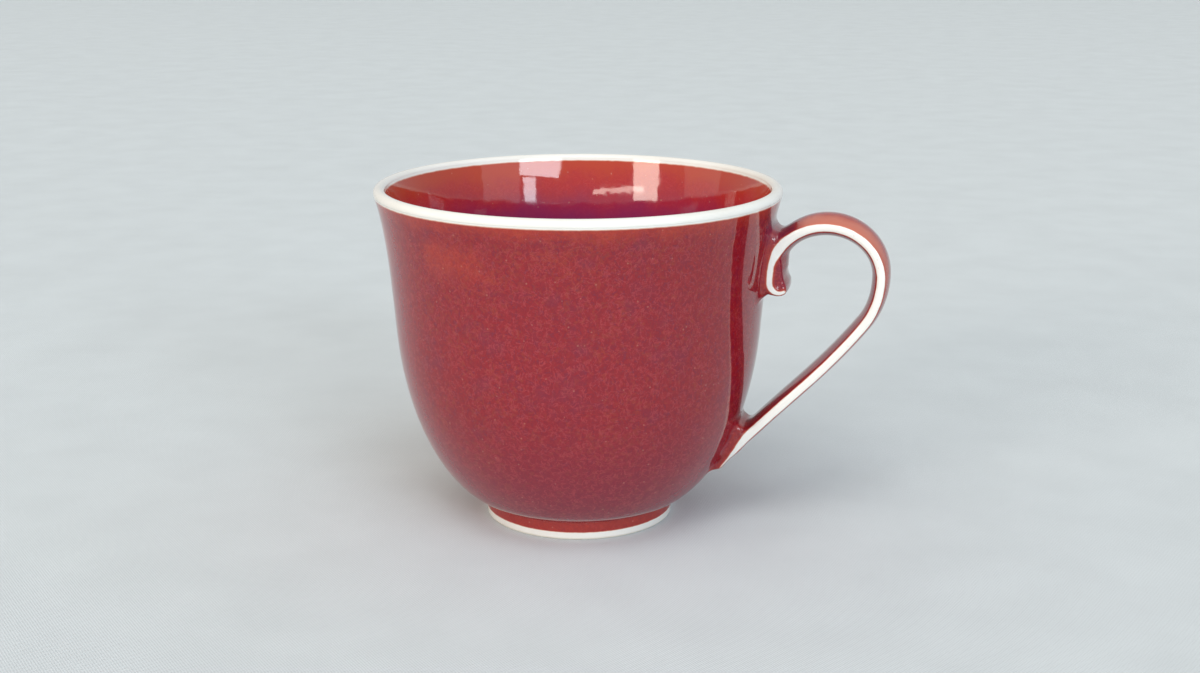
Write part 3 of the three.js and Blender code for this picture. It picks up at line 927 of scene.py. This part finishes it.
def white_porcelain(context):
    """White clay under clear glaze, unglazed where the foot stands."""
    material, tree, shader = new_material("white_porcelain")
    if not tree:
        return material
    colours = context.scene.glaze_colours
    where, parts = place_on_piece(tree)
    cloudy = smooth_range(tree, noise(tree, where, 90, 3), 0.4, 0.75, 0, 0.25)
    white = mix_colours(tree, cloudy, colours.porcelain, colours.biscuit)
    ragged = combine(tree, "MULTIPLY", noise(tree, where, 900, 3), 0.0003)
    stand = smooth_range(tree, combine(tree, "ADD", parts["Z"], ragged), 0.0008, 0.0004)
    white = mix_colours(tree, stand, white, colours.biscuit)
    specks = add(tree, "TexVoronoi", Vector=where, Scale=260.0).outputs["Distance"]
    white = mix_colours(tree, smooth_range(tree, specks, 0.045, 0.02, 0, 0.35), white, colours.brown)
    gloss = smooth_range(tree, stand, 0.0, 1.0, 0.07, 0.75)
    grain = combine(tree, "MULTIPLY", noise(tree, where, 2600, 3), stand)
    ripple = combine(tree, "ADD", noise(tree, where, 260, 2), grain)
    bump = add(tree, "Bump", Strength=0.3, Distance=0.0001, Height=ripple)
    tree.links.new(white, shader.inputs["Base Color"])
    tree.links.new(gloss, shader.inputs["Roughness"])
    tree.links.new(bump.outputs["Normal"], shader.inputs["Normal"])
    shader.inputs["IOR"].default_value = 1.52
    return material


def outside_red(context):
    """Red outside: orange under the lip and on the foot, a painted highlight as a pale line in the
    crease over the foot, and purple low on the belly that is partly painted shade.
    """
    material, tree, shader = new_material("outside_red")
    if not tree:
        return material
    where, parts = place_on_piece(tree)
    height = wavering(tree, parts["Z"], where, 130, 3, 0.004)
    under_lip = smooth_range(tree, height, 0.0660, 0.0708, 0, 0.5)
    on_foot = smooth_range(tree, parts["Z"], 0.0056, 0.0040, 0, 0.5)
    # A rusty belt lies under the lip, away from the handle
    belt = rise_and_fall(tree, height, 0.055, 0.062, 0.064, 0.069)
    away = smooth_range(tree, parts["X"], 0.012, -0.03, 0.1, 0.42)
    patchy = smooth_range(tree, noise(tree, where, 48, 3), 0.35, 0.6)
    belt = combine(tree, "MULTIPLY", belt, away, patchy)
    thin = combine(tree, "MAXIMUM", under_lip, on_foot, belt)
    # A thin pale line in the crease over the foot is a painted highlight, fed in with the bare edges
    crease = rise_and_fall(tree, parts["Z"], 0.0037, 0.0040, 0.0041, 0.0045)
    crease = combine(tree, "MULTIPLY", crease, 0.24)
    edge = wavering(tree, parts["Z"], where, 600, 2, 0.00016)
    lip_edge = smooth_range(tree, edge, 0.0702, 0.0708)
    foot_edge = smooth_range(tree, edge, 0.0019, 0.0015)
    bare = combine(tree, "MAXIMUM", crease, lip_edge, foot_edge)
    # Purple low on the belly: partly glaze run thick, partly painted shade on the lower body
    thick = smooth_range(tree, height, 0.036, 0.010, 0, 0.38)
    finish_glaze(context, tree, shader, where, thin=thin, thick=thick, bare=bare)
    return material


def inside_red(context):
    """Red inside: orange at the lip, painted light as brighter red under it, and violet further down,
    partly pooled glaze and partly a painted pale reflection.
    """
    material, tree, shader = new_material("inside_red")
    if not tree:
        return material
    where, parts = place_on_piece(tree)
    height = wavering(tree, parts["Z"], where, 110, 3, 0.007)
    thin = smooth_range(tree, height, 0.0645, 0.0715)
    # Painted light: the upper inside is made brighter red where it is lit
    shine = smooth_range(tree, height, 0.040, 0.066, 0.15, 0.5)
    # Violet on the inner wall: partly pooled glaze, partly a painted pale reflection of the room
    deep_enough = smooth_range(tree, height, 0.0665, 0.056, 0, 0.85)
    pool = combine(tree, "MULTIPLY", deep_enough, smooth_range(tree, height, 0.026, 0.052, 0.4, 1))
    edge = wavering(tree, parts["Z"], where, 600, 2, 0.0002)
    bare = smooth_range(tree, edge, 0.0708, 0.0714)
    finish_glaze(context, tree, shader, where, thin=thin, shine=shine, pool=pool, bare=bare)
    return material


def handle_glaze(context):
    """Red on the strap's faces and white along its edges, by the marks stored on the handle."""
    material, tree, shader = new_material("handle_glaze")
    if not tree:
        return material
    where, _ = place_on_piece(tree)
    mark = {
        name: add(tree, "Attribute", attribute_name=name).outputs["Fac"]
        for name in ("bare", "wall", "along", "across", "outer")
    }
    edge = wavering(tree, mark["bare"], where, 500, 3, 0.3)
    fringe = smooth_range(tree, edge, -0.9, -0.2, 0, 0.55)
    slip = combine(tree, "MULTIPLY", rise_and_fall(tree, mark["wall"], 0.2, 0.9, 1.6, 3.6), 0.3)
    # The strap's outer face is thin over the arch, with a darker run down its middle
    off_middle = add(tree, "Math", operation="ABSOLUTE", _0=mark["across"]).outputs[0]
    frayed = combine(tree, "MULTIPLY", noise(tree, where, 240, 3), 0.5)
    run = smooth_range(tree, combine(tree, "ADD", off_middle, frayed), 0.25, 0.95, 0.3, 0.9)
    past_scroll = smooth_range(tree, mark["along"], 15, 19)
    outer_face = smooth_range(tree, mark["outer"], 0, 0.5)
    over_arch = smooth_range(tree, mark["along"], 48, 30, 0.25, 1)
    arch = combine(tree, "MINIMUM", past_scroll, outer_face)
    arch = combine(tree, "MULTIPLY", arch, over_arch, run)
    thin = combine(tree, "MAXIMUM", fringe, slip, arch)
    bare = smooth_range(tree, edge, -0.32, 0.12)
    bare = combine(tree, "MAXIMUM", bare, combine(tree, "MULTIPLY", arch, 0.32))
    # The throat between the scroll and the arch is made darker, in purple
    throat = rise_and_fall(tree, mark["along"], 10, 13, 16, 19)
    throat = combine(tree, "MULTIPLY", throat, smooth_range(tree, mark["outer"], 0.4, 1.2, 0, 0.7))
    finish_glaze(context, tree, shader, where, thin=thin, thick=throat, bare=bare)
    return material


def pale_cloth(context):
    """Fine plain weave."""
    material, tree, shader = new_material("pale_cloth")
    if not tree:
        return material
    studio = context.scene.studio_settings
    where, _ = place_on_piece(tree)
    bands = [
        add(tree, "TexWave", bands_direction=axis, Vector=where, Scale=scale, Distortion=1.2, Detail=1.0)
        for axis, scale in (("DIAGONAL", 900.0), ("Y", 620.0))
    ]
    weave = combine(tree, "MULTIPLY", bands[0].outputs["Fac"], bands[1].outputs["Fac"])
    slubs = combine(tree, "ADD", weave, noise(tree, where, 45, 4))
    shade = smooth_range(tree, slubs, 0.2, 1.4, 0, 0.9)
    darker = [value * 0.86 for value in studio.cloth]
    tree.links.new(mix_colours(tree, shade, studio.cloth, darker), shader.inputs["Base Color"])
    bump = add(tree, "Bump", Strength=0.35, Distance=0.0002, Height=weave)
    tree.links.new(bump.outputs["Normal"], shader.inputs["Normal"])
    shader.inputs["Roughness"].default_value = 0.9
    shader.inputs["Specular IOR Level"].default_value = 0.0
    return material


# Stage

WINDOW_DISTANCE = 8
SEEN_FROM = 0.06  # the height on the Z axis from which the windows' places are told
WINDOWS = {  # light, bearing, breadth, lower and upper edge in degrees, and share of a window's power
    "right_window": ("cool", -51, 25, 17, 26, 1.0),
    "right_side_light": ("cool", -44, 8, 3, 16, 1.0),
    "left_window": ("warm", -122, 17, 7, 25, 1.0),
    "lamp_on_shelf": ("warm", -103, 34, 10.5, 12.5, 0.8),
    "pale_curtain": ("cool", -24, 26, 4, 27, 0.09),
    "pale_wall": ("warm", -164, 28, 4, 27, 0.07),
}
DAYLIGHTS = {"right_daylight": ("cool", -62), "left_daylight": ("warm", -103)}  # light and bearing
DAYLIGHT_RISE, DAYLIGHT_SPREAD = 56, 38
CAMERA_PLACE = (0.07113, -0.33835, 0.12974)
CAMERA_TILT, CAMERA_TURN = 75.391, 13


def hang(kind, name, light, spot, bearing, rise):
    """A lamp that shines on the cup from a bearing and a rise above level."""
    turn = (math.radians(90 - rise), 0, math.radians(bearing + 90))
    bpy.ops.object.light_add(type=kind, location=spot, rotation=turn)
    lamp = named(name)
    lamp.data.color = light
    return lamp


def hang_window(name, studio):
    """A distant window, a rectangle of soft light at its place as the cup sees it."""
    light, bearing, breadth, low, high, share = WINDOWS[name]
    middle = (low + high) / 2
    rise, turn = math.radians(middle), math.radians(bearing)
    level = WINDOW_DISTANCE * math.cos(rise)
    height = SEEN_FROM + WINDOW_DISTANCE * math.sin(rise)
    spot = (level * math.cos(turn), level * math.sin(turn), height)
    lamp = hang("AREA", name, getattr(studio, light), spot, bearing, middle)
    lamp.data.shape = "RECTANGLE"
    lamp.data.size = 2 * WINDOW_DISTANCE * math.tan(math.radians(breadth) / 2)
    lamp.data.size_y = 2 * WINDOW_DISTANCE * math.tan(math.radians(high - low) / 2)
    lamp.data.energy = share * studio.window * lamp.data.size * lamp.data.size_y
    lamp.visible_camera = False


def hang_daylight(name, studio):
    """Broad soft light from high up at one side of the camera."""
    light, bearing = DAYLIGHTS[name]
    lamp = hang("SUN", name, getattr(studio, light), (0, 0, 1), bearing, DAYLIGHT_RISE)
    lamp.data.energy = studio.daylight
    lamp.data.angle = math.radians(DAYLIGHT_SPREAD)


def light_room(scene, studio):
    """Soft light from all round, warm from the left and cool from the right and front."""
    world = bpy.data.worlds.new("room")
    scene.world = world
    world.use_nodes = True
    tree = world.node_tree
    direction = add(tree, "TexCoord").outputs["Generated"]
    towards = add(tree, "VectorMath", operation="DOT_PRODUCT", _0=direction, _1=(0.85, -0.5, 0))
    side = smooth_range(tree, towards.outputs["Value"], -0.8, 0.8)
    colour = mix_colours(tree, side, studio.warm, studio.cool)
    room = add(tree, "Background", Color=colour, Strength=studio.sky)
    seen = add(tree, "Background", Color=(*studio.backdrop, 1), Strength=1.0)
    ray = add(tree, "LightPath").outputs
    kinds = ("Camera", "Glossy", "Transmission")
    looked_at = combine(tree, "MAXIMUM", *[ray[f"Is {kind} Ray"] for kind in kinds])
    mix = add(tree, "MixShader", Fac=looked_at, _1=room.outputs[0], _2=seen.outputs[0])
    tree.links.new(mix.outputs[0], tree.nodes["World Output"].inputs["Surface"])


class CUP_OT_set_stage(bpy.types.Operator):
    """Lays the cloth, lights the room and points the camera"""

    bl_idname = "coffee_cup.set_stage"
    bl_label = "Set the stage"
    bl_options = {"REGISTER", "UNDO"}

    def execute(self, context):
        scene = context.scene
        studio = scene.studio_settings
        deselect()
        bpy.ops.mesh.primitive_plane_add(size=40, location=(0, 0, 0))
        floor = named("cloth")
        floor.data.materials.append(pale_cloth(context))
        for name in WINDOWS:
            hang_window(name, studio)
        for name in DAYLIGHTS:
            hang_daylight(name, studio)
        light_room(scene, studio)
        bpy.ops.object.camera_add(
            location=CAMERA_PLACE,
            rotation=(math.radians(CAMERA_TILT), 0, math.radians(CAMERA_TURN)),
        )
        camera = context.object
        camera.data.lens = 50
        camera.data.sensor_width = 36
        scene.camera = camera
        scene.view_settings.view_transform = "Standard"
        return {"FINISHED"}


# Panel and registration

class CUP_PT_sidebar(bpy.types.Panel):
    """Sizes, colours and steps of the cup"""

    bl_label = "Coffee cup"
    bl_idname = "CUP_PT_sidebar"
    bl_space_type = "VIEW_3D"
    bl_region_type = "UI"
    bl_category = "Coffee cup"

    def draw(self, context):
        layout = self.layout
        for operator in STEPS:
            layout.operator(operator.bl_idname)
        for group in GROUPS:
            box = layout.box()
            settings = getattr(context.scene, group)
            for name in settings.bl_rna.properties.keys():
                if name not in ("rna_type", "name"):
                    box.prop(settings, name)


GROUPS = {
    "cup_sizes": CupSizes,
    "handle_sizes": HandleSizes,
    "glaze_colours": GlazeColours,
    "studio_settings": StudioSettings,
}
STEPS = (CUP_OT_throw_bowl, CUP_OT_glaze_bowl, CUP_OT_pull_handle, CUP_OT_set_stage)


def register():
    for group, kind in GROUPS.items():
        bpy.utils.register_class(kind)
        setattr(bpy.types.Scene, group, PointerProperty(type=kind))
    for kind in (*STEPS, CUP_PT_sidebar):
        bpy.utils.register_class(kind)


def unregister():
    for kind in (CUP_PT_sidebar, *reversed(STEPS)):
        bpy.utils.unregister_class(kind)
    for group, kind in reversed(GROUPS.items()):
        delattr(bpy.types.Scene, group)
        bpy.utils.unregister_class(kind)


def main():
    register()
    bpy.ops.coffee_cup.throw_bowl()
    bpy.ops.coffee_cup.glaze_bowl()
    bpy.ops.coffee_cup.pull_handle()
    bpy.ops.coffee_cup.set_stage()


if __name__ == "__main__":
    main()
